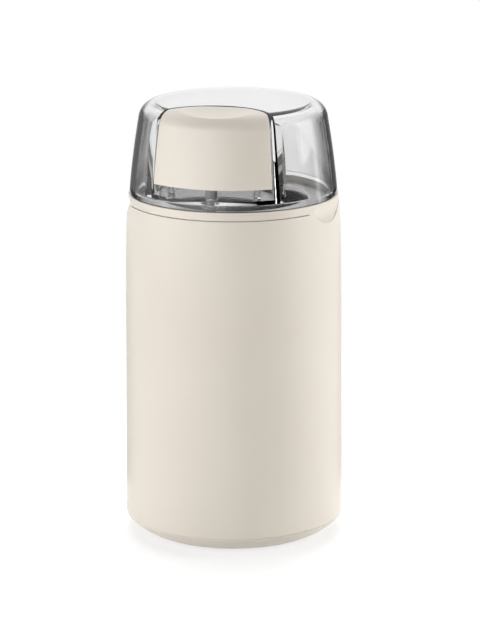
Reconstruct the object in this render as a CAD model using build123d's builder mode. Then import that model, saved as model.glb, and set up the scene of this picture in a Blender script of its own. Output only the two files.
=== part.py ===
"""Electric coffee grinder with a clear lift-off lid and a thumb button in the lid.

Millimetres. +Z is up, the thumb button faces -Y, and the origin lies on the table under the middle.
"""

import os
from math import atan2, cos, pi, radians, sin, sqrt, tan

from build123d import *

# Clearances
press_gap = 0.03  # all round a pressed or screwed fit
slide_gap = 0.15  # all round a guided rod
seat_gap = 0.25  # between moulded parts that plug together
shaft_gap = 0.03  # all round the shaft in its bearings
play = 0.35  # free play in the switch chain

# Heights of the outside, from the table up
foot_drop = 1.0  # the feet stand this far out of the base
base_rise = 6.2  # the rounded rim of the base
base_seam = 0.05  # fine line between base and housing
housing_height = 131.0
crown_height = 24.0  # upper stretch of the housing that curves in
collar_seam = 0.3  # dark line under the collar band
collar_band = 3.3
lid_height = 37.4

# Radii of the outside
base_draw = 8.3  # the base's flat floor stands in from the housing by this
base_swell = 0.6  # the rim bulges out from a straight slope by this
base_edge_round = 0.5
housing_edge_round = 0.5  # lower edge, at the seam
rim_edge_round = 0.25  # upper edge of the base, at the seam
body_bottom_radius = 44.9
body_draft = 0.9  # the housing draws in by this from its lower edge to the crown
crown_draw = 0.9  # and by this along the crown
collar_step = 0.2
collar_taper = 0.25
lid_step = 0.25
lid_taper = 5.2  # how much the lid's wall draws in on its way up
lid_bulge = 0.5
lid_edge_round = 7.0

# Walls
housing_wall = 2.4
base_floor = 2.5
spigot_height = 5.0
spigot_wall = 1.8
rim_wall = 2.0
rim_height = 3.3
deck_wall = 2.4
skirt_wall = 2.0
skirt_height = 8.4
skirt_cover = 1.15  # housing wall left outside the collar's skirt
snap_bead = 0.3
snap_height = 1.4
lid_wall = 2.2
lid_top_wall = 2.4
lid_lip_wall = 1.7
lid_lip_gap = 0.5  # lip above the bowl's flange
lid_lip_height = 3.4

# Finger scoops: tongues of the collar in the housing's upper edge, with a dish in each
scoop_angle = 77.0  # from the front, to both sides
scoop_width = 23.0
scoop_depth = 5.2
scoop_round = 4.0
scoop_gap = 0.05  # all round a tongue
scoop_dish = 1.35  # deepest place of the dish
scoop_land = 1.2  # collar left over the dish
scoop_edge = 0.4  # tongue left under the dish

# Pocket in the lid and the thumb button
button_radius = 23.1  # at the top
button_draft = 2.7  # degrees, wider towards the bottom
button_set_in = 5.8  # the button's own axis, in from the lid's lower edge
button_gap = 0.4
button_lift = 8.7  # lower edge of the button above the lid's lower edge
button_travel = 4.0
button_wall = 2.0
button_top_wall = 3.6
button_edge_round = 0.6
pocket_edge_round = 0.5
dish_radius = 62.0
dish_depth = 1.7
dish_set_in = 15.4  # middle of the dish, in from the lid's lower edge
pocket_wall = 1.8
pocket_corner = 2.8  # radius of the thick corners where the pocket meets the lid's wall
pocket_corner_angle = 42.0  # from the front, to both sides
ledge_wall = 2.0
ledge_clear = 0.3  # left under the button when it is fully down
pin_radius = 2.4  # push pin and plunger alike
pin_hold = 10.0  # length of the pin inside the button
pin_sleeve_wall = 1.0
pin_sleeve_drop = 1.7
pin_boss_wall = 1.9
pin_dip = 0.7  # the pin's end below the lid's lower edge
post_radius = 1.5
post_height = 12.5
post_edge = 5.6  # guide posts, in from the button's radius
post_set_in = 11.4
post_sleeve_wall = 1.1

# Bowl
bowl_sheet = 0.6
bowl_depth = 34.0
flange_land = 1.05  # sheet left on both sides of the pin's hole
bowl_flange_gap = 1.4
bowl_lip = 1.2
bowl_taper = 1.4
bowl_corner = 8.0
gasket_height = 0.8
gasket_margin = 0.4
bowl_hole_gap = 0.25
pin_hole_gap = 0.35

# Switch chain
plunger_flange = 1.3
plunger_flange_height = 1.5
guide_wall = 1.5
guide_length = 8.0
spring_wire = 0.6
spring_turns = 5
spring_gap = 0.3
spring_length = 9.8
slider_radius = 1.8
slider_rise = 4.4
slider_depth = 3.0
switch_length = 19.8
switch_width = 6.4
switch_height = 10.4
switch_pivot = 1.1
tab_width = 4.8
tab_sheet = 0.6
tab_length = 7.0
tab_pitch = 6.6
carrier_wall = 2.0
carrier_hook = 2.2
carrier_depth = 4.4

# Motor
shaft_radius = 3.0
bracket_plate = 3.0
bracket_margin = 2.25  # plate outside the middle of its pillars
bracket_arm = 9.0
bowl_seat_height = 4.2
bowl_seat_width = 5.0
neck_wall = 2.0  # round the upper bearing
bearing_radius = 6.0
bearing_length = 8.4
seal_length = 2.6
spigot_top_rise = 2.0  # neck above the bowl nut
bowl_nut_height = 2.8
bowl_nut_width = 21.0
boss_radius = 3.0
screw_radius = 1.5
screw_head_radius = 2.9
screw_head = 2.2
screw_bite = 9.0
bolt_radius = 2.0
bolt_head_radius = 3.6
bolt_head = 2.8
pillar_radius = 4.0
motor_post_height = 20.65  # from the base's floor to the rubber ring
stator_yoke = 6.0
stator_side = 7.5
stator_corner = 12.0
air_gap = 0.4
armature_radius = 13.9
pole_shoe = 3.2
pole_neck = 12.0
pole_span = 118.0
coil_gap = 0.35
coil_build = 5.5
coil_thick = 5.8
window_clear = 1.7  # beside the stator's bore
slot_count = 12
slot_width = 3.0
slot_depth = 5.6
slot_mouth = 1.4
end_turn_height = 6.2
end_turn_step = 1.3  # in from the armature's radius
winding_gap = 0.41  # over the commutator
commutator_radius = 8.0
commutator_end = 0.4  # bars below the brushes' lower edge
commutator_riser = 1.6
riser_height = 1.2
bar_gap = 0.5
bar_depth = 1.0
fan_tip_gap = 0.75  # inside the pillars
fan_clear = 1.8  # over the winding
fan_height = 6.0
fan_disc = 1.3
fan_blades = 9
fan_blade_wall = 1.1
fan_hub_radius = 5.4
fan_gap = 1.0
cup_wall = 2.0
cup_depth = 5.0
thrust_disc = 0.6
damper_height = 5.0
damper_width = 4.0
base_post_wall = 2.2
brush_width = 5.0
brush_height = 8.0
brush_length = 9.0
brush_gap = 0.12
brush_tube_wall = 0.8
brush_tube_length = 16.4
brush_clear = 1.0
brush_spring_wire = 0.5
brush_spring_radius = 1.7
brush_spring_turns = 4
cap_length = 13.0
cap_width = 6.5
cap_height = 11.0
cap_shelf_gap = 1.0

# Blade
hub_wall = 1.6  # round the bearing neck
hub_neck_radius = 6.6
hub_height = 4.0
hub_skirt = 1.6
hub_clear = 0.6
blade_sheet = 1.5
blade_tip_gap = 3.45
blade_width = 12.0
blade_tip_width = 8.0
blade_bend = 22.0
blade_flat = 11.0
blade_edge = 1.8
nut_width = 9.0
nut_height = 3.2
nut_dome = 1.4

# Base fasteners, feet and air slots
base_screw_inset = 11.5  # in from the housing's inner wall
base_boss_radius = 4.2
base_boss_height = 15.0
base_post_height = 10.5
base_screw_radius = 1.5
base_head_radius = 2.9
base_head = 2.2
base_seat = 3.0
base_screw_bite = 9.0
foot_radius = 4.5
foot_inset = 7.6  # in from the edge of the base's floor
foot_sink = 1.2
foot_gap = 0.1
air_slots = 16
air_slot_width = 1.8
air_slot_margin = 1.5  # inside the feet
air_slot_clear = 2.0  # outside the motor's post

# Inlet for the mains lead
inlet_gap = 0.85  # gland above the base's spigot
inlet_width = 7.0
inlet_rise = 5.2
gland_wall = 1.4
gland_flange = 1.5
gland_flange_wall = 1.4

# Radii that follow
body_waist_radius = body_bottom_radius - body_draft
body_top_radius = body_waist_radius - crown_draw
base_floor_radius = body_bottom_radius - base_draw
collar_radius = body_top_radius - collar_step
collar_top_radius = collar_radius - collar_taper
lid_radius = collar_top_radius - lid_step
lid_top_radius = lid_radius - lid_taper
rim_inner = collar_top_radius - rim_wall
skirt_radius = body_top_radius - skirt_cover - seat_gap
skirt_inner = skirt_radius - skirt_wall
pin_hole = pin_radius + pin_hole_gap
bowl_flange_width = 2 * (pin_hole + flange_land)
flange_radius = rim_inner - bowl_flange_gap
flange_inner = flange_radius - bowl_flange_width
bowl_outer = flange_inner - bowl_lip
bowl_radius = bowl_outer - bowl_sheet
blade_radius = bowl_radius - bowl_taper - blade_tip_gap
deck_hole = flange_inner + seat_gap
pin_y = -(flange_radius - bowl_flange_width / 2)
plunger_radius = pin_radius
guide_bore = plunger_radius + slide_gap
spring_radius = plunger_radius + spring_gap + spring_wire / 2
button_y = -(lid_radius - button_set_in)
post_spread = button_radius - post_edge
post_y = -(lid_radius - post_set_in)
pocket_corner_circle = lid_top_radius + lid_taper / 8
boss_circle = (bowl_outer + skirt_inner) / 2
spigot_radius = bearing_radius + neck_wall
hub_radius = spigot_radius + hub_wall
stator_bore = armature_radius + air_gap
shoe_radius = stator_bore + pole_shoe
window_x = shoe_radius + coil_thick + 2 * coil_gap
window_y = stator_bore + window_clear
pillar_y = window_y + stator_side / 2
bracket_radius = pillar_y + bracket_margin
end_turn_radius = armature_radius - end_turn_step
fan_radius = pillar_y - pillar_radius - fan_tip_gap
base_screw_circle = body_bottom_radius - housing_wall - base_screw_inset
foot_circle = base_floor_radius - foot_inset
cup_radius = bearing_radius + cup_wall
air_slot_outer = foot_circle - foot_radius - air_slot_margin
air_slot_inner = cup_radius + air_slot_clear

# Heights that follow, from the base up to the lid
base_z = foot_drop
base_inside_z = base_z + base_floor
base_top_z = base_z + base_rise
housing_z = base_top_z + base_seam
housing_top_z = housing_z + housing_height
inlet_z = base_top_z + spigot_height + inlet_gap + inlet_rise / 2 + gland_wall + gland_flange
band_z = housing_top_z + collar_seam
seat_z = band_z + collar_band
lid_top_z = seat_z + lid_height
deck_z = seat_z - rim_height
deck_under_z = deck_z - deck_wall
skirt_z = housing_top_z - skirt_height
flange_z = deck_z + gasket_height
mouth_z = flange_z + bowl_sheet
lid_lip_drop = seat_z - mouth_z - lid_lip_gap
ledge_z = seat_z + button_lift - button_travel - ledge_clear
button_z = seat_z + button_lift

# The bowl and the motor hang from the deck, and the stator's stack fills the height that is left
bowl_floor_z = mouth_z - bowl_depth
bowl_under_z = bowl_floor_z - bowl_sheet
bracket_top_z = bowl_under_z - bowl_seat_height
bracket_z = bracket_top_z - bracket_plate
stator_top_z = bracket_z - fan_gap - fan_height - fan_clear - end_turn_height
fan_z = stator_top_z + end_turn_height + fan_clear
damper_z = base_inside_z + motor_post_height
cup_z = damper_z + damper_height
shaft_z = cup_z + cup_wall + thrust_disc
lower_z = cup_z + cup_depth
lower_top_z = lower_z + bracket_plate
brush_tube_height = brush_height + 2 * brush_gap + 2 * brush_tube_wall
brush_z = lower_top_z + brush_clear + brush_tube_height / 2
riser_z = brush_z + brush_tube_height / 2 + play
stator_z = riser_z + riser_height + winding_gap + end_turn_height
stator_stack = stator_top_z - stator_z
nut_top_z = bowl_floor_z + bowl_nut_height
neck_top_z = nut_top_z + spigot_top_rise
hub_z = neck_top_z + hub_clear - hub_skirt
blade_z = neck_top_z + hub_clear + hub_height
blade_top_z = blade_z + blade_sheet
seal_z = neck_top_z - seal_length
bearing_z = seal_z - bearing_length

# Switch chain, from the guide tube down
guide_z = deck_under_z - guide_length
plunger_top_z = seat_z - pin_dip - play
plunger_flange_z = guide_z - play - plunger_flange_height
spring_z = plunger_flange_z - spring_length
switch_z = spring_z - switch_height
slider_top_z = spring_z + slider_rise
plunger_z = slider_top_z + play / 2

diagonals = [45, 135, 225, 315]
quarters = [0, 90, 180, 270]


def spot(radius, angle, height=0.0):
    """A place at a radius and a bearing in degrees, counted from +X."""
    return (radius * cos(radians(angle)), radius * sin(radians(angle)), height)


def body_form(inset, bottom, top):
    """The housing's outer form, drawn in by an inset, between two heights."""
    waist_z = housing_top_z - crown_height
    with BuildPart() as form:
        with BuildSketch(Plane.XZ):
            with BuildLine():
                waist = (body_waist_radius - inset, waist_z)
                draft_line = Line((body_bottom_radius - inset, housing_z), waist)
                TangentArc(
                    waist,
                    (body_top_radius - inset, housing_top_z),
                    tangent=draft_line % 1,
                )
                Polyline(
                    (body_top_radius - inset, housing_top_z),
                    (0, housing_top_z),
                    (0, housing_z),
                    (body_bottom_radius - inset, housing_z),
                )
            make_face()
        revolve(axis=Axis.Z)
        with BuildSketch(Plane.XY.offset(bottom)):
            Circle(body_bottom_radius + housing_wall)
        extrude(amount=top - bottom, mode=Mode.INTERSECT)
    return form.part


def lid_form(inset, top_inset):
    """The lid's outer form, drawn in at the wall and at the top, standing on the lid's lower edge."""
    middle = (lid_radius + lid_top_radius) / 2 + lid_bulge
    wall_middle_z = (seat_z + lid_top_z) / 2
    top_z = lid_top_z - top_inset
    with BuildPart() as form:
        with BuildSketch(Plane.XZ):
            with BuildLine():
                wall = ThreePointArc(
                    (lid_radius - inset, seat_z),
                    (middle - inset, wall_middle_z),
                    (lid_top_radius - inset, lid_top_z),
                )
                Polyline(wall @ 1, (0, lid_top_z), (0, seat_z), wall @ 0)
            make_face()
            with Locations((0, top_z)):
                Rectangle(
                    2 * lid_radius, 2 * lid_height, align=(Align.CENTER, Align.MIN), mode=Mode.SUBTRACT
                )
            edge = vertices().group_by(Axis.Y)[-1].sort_by(Axis.X)[-1]
            fillet(edge, max(lid_edge_round - inset, lid_wall / 4))
        revolve(axis=Axis.Z)
    return form.part


def scoop_plane(side):
    """The upright plane through the axis that faces a scoop, at the housing's upper edge."""
    outward = (sin(radians(side)), -cos(radians(side)), 0)
    along = (cos(radians(side)), sin(radians(side)), 0)
    return Plane(origin=(0, 0, housing_top_z), x_dir=along, z_dir=outward)


def scoop_form(side, gap):
    """The round-bottomed notch of a scoop, drawn in all round by a gap and open at the top."""
    radius = (scoop_width**2 / 4 + scoop_depth**2) / (2 * scoop_depth)
    with BuildPart() as form:
        with BuildSketch(scoop_plane(side)):
            with Locations((0, radius - scoop_depth)):
                Circle(radius)
            with Locations((0, 2 * radius)):
                Rectangle(2 * scoop_width, 4 * radius)
            level = vertices().filter_by_position(Axis.Y, -press_gap, press_gap)
            fillet(level.filter_by_position(Axis.X, -0.6 * scoop_width, 0.6 * scoop_width), scoop_round)
            offset(amount=-gap)
            Rectangle(scoop_width + scoop_round, 4 * radius, mode=Mode.INTERSECT)
        extrude(amount=body_bottom_radius)
    return form.part


def finger_dish(side):
    """What the dish of a scoop takes away: flat at the back, curving out to the tongue's lower edge."""
    flat_x = body_top_radius - scoop_dish
    top_z = seat_z - scoop_land
    low_z = housing_top_z - scoop_depth + scoop_edge
    turn = (flat_x, housing_top_z - scoop_edge)
    upright = scoop_plane(side)
    with BuildPart() as form:
        with BuildSketch(Plane(origin=(0, 0, 0), x_dir=upright.z_dir, z_dir=-upright.x_dir)):
            with BuildLine():
                Polyline((body_bottom_radius, low_z), (body_bottom_radius, top_z), (flat_x, top_z), turn)
                TangentArc(turn, (body_top_radius, low_z), tangent=(0, -1))
                Line((body_top_radius, low_z), (body_bottom_radius, low_z))
            make_face()
        extrude(amount=scoop_width, both=True)
    return form.part


def plug_form(radius, bottom):
    """The drafted round plug of the thumb button, from a height to above the lid."""
    spread = tan(radians(button_draft))
    head = lid_wall
    with BuildPart() as form:
        with BuildSketch(Plane.XZ):
            with BuildLine():
                Polyline(
                    (0, bottom),
                    (radius + (lid_top_z - bottom) * spread, bottom),
                    (radius - head * spread, lid_top_z + head),
                    (0, lid_top_z + head),
                    close=True,
                )
            make_face()
        revolve(axis=Axis.Z)
    return form.part.moved(Location((0, button_y, 0)))


def plug_edges(piece, radius, bottom):
    """The edges of a piece where the button's drafted plug cuts it, above a height."""
    edges = []
    for edge in piece.edges():
        middle = edge @ 0.5
        plug = radius + (lid_top_z - middle.Z) * tan(radians(button_draft))
        on_plug = abs(sqrt(middle.X**2 + (middle.Y - button_y) ** 2) - plug) < press_gap
        if on_plug and middle.Z > bottom + press_gap:
            edges.append(edge)
    return edges


def coil(radius, wire, turns, length):
    """A spring along +Z from the origin: one round wire on quarter-turn pairs of arcs."""
    rise = length - wire
    lead = rise / turns / (2 * pi)
    steps = 4 * turns
    points = []
    directions = []
    for step in range(steps + 1):
        turn = step * pi / 2
        points.append(Vector(radius * cos(turn), radius * sin(turn), wire / 2 + lead * turn))
        directions.append(Vector(-radius * sin(turn), radius * cos(turn), lead).normalized())
    with BuildPart() as spring:
        with BuildLine() as path:
            for step in range(steps):
                start, end = points[step], points[step + 1]
                leave, arrive = directions[step], directions[step + 1]
                chord = end - start
                both = leave + arrive
                bend = 2 * (1 - leave.dot(arrive))
                reach = (sqrt(chord.dot(both) ** 2 + bend * chord.dot(chord)) - chord.dot(both)) / bend
                joint = (start + end + (leave - arrive) * reach) * 0.5
                across = (end - arrive * reach) - (start + leave * reach)
                TangentArc(start, joint, tangent=leave)
                TangentArc(joint, end, tangent=across.normalized())
        with BuildSketch(Plane(origin=points[0], z_dir=directions[0])):
            Circle(wire / 2)
        sweep(path=path.wires()[0])
    return spring.part


# Housing: a drafted sleeve with its crown, scoops, screw bosses and the inlet's hole
boss_z = base_inside_z + base_post_height
with BuildPart() as housing:
    add(body_form(0, housing_z, housing_top_z))
    fillet(housing.edges().group_by(Axis.Z)[0], housing_edge_round)
    add(body_form(housing_wall, housing_z, skirt_z), mode=Mode.SUBTRACT)
    with BuildSketch(Plane.XY.offset(skirt_z)):
        Circle(skirt_radius + seat_gap)
    extrude(amount=skirt_height, mode=Mode.SUBTRACT)
    with BuildSketch(Plane.XY.offset(skirt_z + snap_height)):
        Circle(skirt_radius + seat_gap + snap_bead)
    extrude(amount=snap_height, mode=Mode.SUBTRACT)
    for side in (-scoop_angle, scoop_angle):
        add(scoop_form(side, 0), mode=Mode.SUBTRACT)
    for bearing in diagonals:
        with BuildSketch(Plane.XY.offset(boss_z)):
            with Locations(spot(base_screw_circle, bearing)):
                Circle(base_boss_radius)
            with Locations(Location(spot(base_screw_circle, bearing), bearing)):
                Rectangle(
                    body_bottom_radius - housing_wall / 2 - base_screw_circle,
                    housing_wall,
                    align=(Align.MIN, Align.CENTER),
                )
        extrude(amount=base_boss_height)
        with BuildSketch(Plane.XY.offset(boss_z)):
            with Locations(spot(base_screw_circle, bearing)):
                Circle(base_screw_radius + press_gap)
        extrude(amount=base_screw_bite + base_screw_radius, mode=Mode.SUBTRACT)
    with BuildSketch(Plane.XZ.offset(-body_bottom_radius)):
        with Locations((0, inlet_z)):
            SlotOverall(inlet_width + 2 * gland_wall, inlet_rise + 2 * gland_wall)
    extrude(amount=2 * housing_wall, mode=Mode.SUBTRACT)
housing.part.label = "housing"

# Collar: the band under the lid, the deck, the skirt inside the housing, scoops, bosses and plunger guide
with BuildPart() as top_collar:
    with BuildSketch(Plane.XZ):
        with BuildLine():
            Polyline(
                (deck_hole, deck_under_z),
                (skirt_inner, deck_under_z),
                (skirt_inner, skirt_z),
                (skirt_radius, skirt_z),
                (skirt_radius, skirt_z + snap_height + seat_gap),
                (skirt_radius + snap_bead, skirt_z + snap_height + 2 * seat_gap),
                (skirt_radius + snap_bead, skirt_z + 2 * snap_height - seat_gap),
                (skirt_radius, skirt_z + 2 * snap_height - seat_gap),
                (skirt_radius, band_z),
                (collar_radius, band_z),
                (collar_top_radius, seat_z),
                (rim_inner, seat_z),
                (rim_inner, deck_z),
                (deck_hole, deck_z),
                close=True,
            )
        make_face()
        rim = vertices().group_by(Axis.Y)[-1].sort_by(Axis.X)[-1]
        fillet(rim, lid_step)
    revolve(axis=Axis.Z)
    with BuildPart(mode=Mode.PRIVATE) as tongues:
        add(body_form(collar_step, skirt_z, housing_top_z))
        with BuildSketch(Plane.XY.offset(housing_top_z)):
            Circle(collar_radius)
        extrude(amount=collar_seam + collar_band / 2)
        with BuildSketch(Plane.XY.offset(skirt_z)):
            Circle(skirt_radius - skirt_wall / 2)
        extrude(amount=housing_top_z + collar_seam + collar_band - skirt_z, mode=Mode.SUBTRACT)
        add([scoop_form(side, scoop_gap) for side in (-scoop_angle, scoop_angle)], mode=Mode.INTERSECT)
    add(tongues.part)
    for side in (-scoop_angle, scoop_angle):
        add(finger_dish(side), mode=Mode.SUBTRACT)
    for bearing in diagonals:
        with BuildSketch(Plane.XY.offset(bracket_top_z)):
            with Locations(spot(boss_circle, bearing)):
                Circle(boss_radius)
        extrude(amount=deck_under_z - bracket_top_z)
        with BuildSketch(Plane.XY.offset(bracket_top_z)):
            with Locations(spot(boss_circle, bearing)):
                Circle(screw_radius + press_gap)
        extrude(amount=screw_bite + screw_radius, mode=Mode.SUBTRACT)
    with BuildSketch(Plane.XY.offset(guide_z)):
        with Locations((0, pin_y)):
            Circle(guide_bore + guide_wall)
    extrude(amount=guide_length)
    with BuildSketch(Plane.XY.offset(guide_z)):
        with Locations((0, pin_y)):
            Circle(guide_bore)
    extrude(amount=deck_z - guide_z, mode=Mode.SUBTRACT)
top_collar.part.label = "top_collar"

# Bowl: drawn sheet with a rolled mouth, a wide flange and the hole for the bearing neck
neck_hole = spigot_radius + bowl_hole_gap
with BuildPart() as grinding_bowl:
    with BuildSketch(Plane.XZ) as bowl_outside:
        with BuildLine():
            Polyline(
                (neck_hole, bowl_under_z),
                (bowl_outer - bowl_taper, bowl_under_z),
                (bowl_outer, flange_z),
                (flange_radius, flange_z),
                (flange_radius, mouth_z),
                (neck_hole, mouth_z),
                close=True,
            )
        make_face()
        low = vertices().group_by(Axis.Y)[0].sort_by(Axis.X)[-1]
        fillet(low, bowl_corner + bowl_sheet)
        lip = vertices().filter_by_position(Axis.X, bowl_outer - press_gap, bowl_outer + press_gap)
        fillet(lip, bowl_lip)
    with BuildSketch(Plane.XZ, mode=Mode.PRIVATE) as bowl_inside:
        with BuildLine():
            Polyline(
                (0, bowl_floor_z),
                (bowl_radius - bowl_taper, bowl_floor_z),
                (bowl_radius, mouth_z),
                (flange_radius, mouth_z),
                (flange_radius, mouth_z + bowl_depth),
                (0, mouth_z + bowl_depth),
                close=True,
            )
        make_face()
        low = vertices().group_by(Axis.Y)[0].sort_by(Axis.X)[-1]
        fillet(low, bowl_corner)
        lip = vertices().filter_by_position(Axis.X, bowl_radius - press_gap, bowl_radius + press_gap)
        fillet(lip, bowl_lip + bowl_sheet)
    revolve(axis=Axis.Z)
    revolve(bowl_inside.sketch, axis=Axis.Z, mode=Mode.SUBTRACT)
    with BuildSketch(Plane.XY.offset(flange_z)):
        with Locations((0, pin_y)):
            Circle(pin_hole)
    extrude(amount=bowl_sheet, mode=Mode.SUBTRACT)
grinding_bowl.part.label = "grinding_bowl"

# Soft ring between the deck and the bowl's flange
with BuildPart() as bowl_gasket:
    with BuildSketch(Plane.XY.offset(deck_z)):
        Circle(flange_radius - gasket_margin)
        Circle(deck_hole, mode=Mode.SUBTRACT)
        with Locations((0, pin_y)):
            Circle(pin_hole, mode=Mode.SUBTRACT)
    extrude(amount=gasket_height)
bowl_gasket.part.label = "bowl_gasket"

# Lid: clear shell with the button's pocket, ledge, guide posts and pin sleeve
pin_floor = ledge_z - ledge_wall - pin_sleeve_drop
with BuildPart() as lid_shell:
    add(lid_form(0, 0))
    add(lid_form(lid_wall, lid_top_wall), mode=Mode.SUBTRACT)
    with BuildPart(mode=Mode.PRIVATE) as pocket:
        add(plug_form(button_radius + button_gap + pocket_wall, ledge_z - ledge_wall))
        with BuildSketch(Plane.XY.offset(ledge_z - ledge_wall)):
            for side in (-pocket_corner_angle, pocket_corner_angle):
                with Locations(spot(pocket_corner_circle, side - 90)):
                    Circle(pocket_corner)
        extrude(amount=lid_height)
        add(lid_form(0, 0), mode=Mode.INTERSECT)
    add(pocket.part)
    add(plug_form(button_radius + button_gap, ledge_z), mode=Mode.SUBTRACT)
    fillet(plug_edges(lid_shell, button_radius + button_gap, ledge_z), pocket_edge_round)
    with BuildSketch(Plane.XY.offset(seat_z - lid_lip_drop)):
        Circle(rim_inner - seat_gap)
        Circle(rim_inner - seat_gap - lid_lip_wall, mode=Mode.SUBTRACT)
    extrude(amount=lid_lip_height)
    with BuildSketch(Plane.XY.offset(seat_z)):
        Circle(lid_radius - lid_wall / 2)
        Circle(rim_inner - seat_gap - lid_lip_wall, mode=Mode.SUBTRACT)
    extrude(amount=lid_lip_height - lid_lip_drop)
    with BuildSketch(Plane.XY.offset(ledge_z)):
        with Locations((-post_spread, post_y), (post_spread, post_y)):
            Circle(post_radius)
    extrude(amount=post_height)
    with BuildSketch(Plane.XY.offset(pin_floor)):
        with Locations((0, pin_y)):
            Circle(pin_radius + slide_gap + pin_sleeve_wall)
    extrude(amount=pin_sleeve_drop)
    with BuildSketch(Plane.XY.offset(seat_z - lid_lip_drop)):
        with Locations((0, pin_y)):
            Circle(pin_radius + slide_gap)
    extrude(amount=ledge_z - seat_z + lid_lip_drop, mode=Mode.SUBTRACT)
lid_shell.part.label = "lid_shell"

# Thumb button: flush with the lid's side and top, hollow, dished, with pin boss and guide sleeves
with BuildPart() as button_cap:
    add(lid_form(0, 0))
    add(plug_form(button_radius, button_z), mode=Mode.INTERSECT)
    fillet(plug_edges(button_cap, button_radius, button_z), button_edge_round)
    with Locations((0, -(lid_radius - dish_set_in), lid_top_z + dish_radius - dish_depth)):
        Sphere(dish_radius, mode=Mode.SUBTRACT)
    with BuildPart(mode=Mode.PRIVATE) as hollow:
        add(lid_form(button_wall, button_top_wall))
        add(plug_form(button_radius - button_wall, seat_z), mode=Mode.INTERSECT)
    add(hollow.part, mode=Mode.SUBTRACT)
    with BuildPart(mode=Mode.PRIVATE) as inner_posts:
        with BuildSketch(Plane.XY.offset(button_z + button_wall)):
            with Locations((0, pin_y)):
                Circle(pin_radius + press_gap + pin_boss_wall)
            with Locations((-post_spread, post_y), (post_spread, post_y)):
                Circle(post_radius + slide_gap + post_sleeve_wall)
        extrude(amount=lid_height)
        add(lid_form(button_wall / 2, button_top_wall / 2), mode=Mode.INTERSECT)
    add(inner_posts.part)
    with BuildSketch(Plane.XY.offset(button_z)):
        with Locations((0, pin_y)):
            Circle(pin_radius + press_gap)
    extrude(amount=button_wall + pin_hold, mode=Mode.SUBTRACT)
    with BuildSketch(Plane.XY.offset(button_z)):
        with Locations((-post_spread, post_y), (post_spread, post_y)):
            Circle(post_radius + slide_gap)
    extrude(amount=post_height + button_wall, mode=Mode.SUBTRACT)
button_cap.part.label = "button_cap"

# Push pin, held in the button and guided in the lid's ledge
with BuildPart() as push_pin:
    with BuildSketch(Plane.XY.offset(seat_z - pin_dip)):
        with Locations((0, pin_y)):
            Circle(pin_radius)
    extrude(amount=button_z + button_wall + pin_hold - seat_z + pin_dip)
    chamfer(push_pin.edges().group_by(Axis.Z)[0], pin_radius / 5)
push_pin.part.label = "push_pin"

# Plunger in the deck, with the flange that its spring lifts against the guide tube
with BuildPart() as switch_plunger:
    with BuildSketch(Plane.XY.offset(plunger_z)):
        with Locations((0, pin_y)):
            Circle(plunger_radius)
    extrude(amount=plunger_top_z - plunger_z)
    with BuildSketch(Plane.XY.offset(plunger_flange_z)):
        with Locations((0, pin_y)):
            Circle(plunger_radius + plunger_flange)
    extrude(amount=plunger_flange_height)
    chamfer(switch_plunger.edges().group_by(Axis.Z)[-1], plunger_radius / 6)
switch_plunger.part.label = "switch_plunger"

# Return spring of the plunger, standing on the switch
with BuildPart() as plunger_spring:
    add(coil(spring_radius, spring_wire, spring_turns, spring_length).moved(Location((0, pin_y, spring_z))))
plunger_spring.part.label = "plunger_spring"

# Switch case, hung under the guide tube
with BuildPart() as switch_case:
    with BuildSketch(Plane.XY.offset(switch_z)):
        with Locations((0, pin_y)):
            Rectangle(switch_length, switch_width)
    extrude(amount=switch_height)
    chamfer(switch_case.edges().filter_by(Axis.Y), switch_width / 10)
    with BuildSketch(Plane.XY.offset(spring_z)):
        with Locations((0, pin_y)):
            Circle(slider_radius + slide_gap)
    extrude(amount=-(slider_depth + button_travel + play), mode=Mode.SUBTRACT)
    for side in (-1, 1):
        with BuildSketch(Plane.XZ.offset(-pin_y - switch_width / 2)):
            with Locations((side * (switch_length / 2 - 2 * switch_pivot), switch_z + 2 * switch_pivot)):
                Circle(switch_pivot)
        extrude(amount=switch_width, mode=Mode.SUBTRACT)
switch_case.part.label = "switch_case"

# Switch slider, pressed by the plunger
with BuildPart() as switch_slider:
    with BuildSketch(Plane.XY.offset(spring_z - slider_depth)):
        with Locations((0, pin_y)):
            Circle(slider_radius)
    extrude(amount=slider_depth + slider_rise)
switch_slider.part.label = "switch_slider"

# Terminal tabs of the switch
with BuildPart() as switch_tabs:
    with BuildSketch(Plane.XY.offset(switch_z)):
        with Locations((-tab_pitch / 2, pin_y), (tab_pitch / 2, pin_y)):
            Rectangle(tab_width, tab_sheet)
    extrude(amount=-tab_length)
switch_tabs.part.label = "switch_tabs"

# Carrier: two legs from the deck that hold the switch by its ends
leg_x = switch_length / 2 + seat_gap
leg_front = sqrt((skirt_inner - seat_gap) ** 2 - (leg_x + carrier_wall) ** 2)
with BuildPart() as switch_carrier:
    with BuildSketch(Plane.XZ.offset(leg_front - carrier_depth)):
        for side in (-1, 1):
            with BuildLine():
                Polyline(
                    (side * leg_x, deck_under_z),
                    (side * leg_x, switch_z),
                    (side * (leg_x - carrier_hook), switch_z),
                    (side * (leg_x - carrier_hook), switch_z - carrier_wall),
                    (side * (leg_x + carrier_wall), switch_z - carrier_wall),
                    (side * (leg_x + carrier_wall), deck_under_z),
                    close=True,
                )
            make_face()
    extrude(amount=carrier_depth)
switch_carrier.part.label = "switch_carrier"

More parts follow.
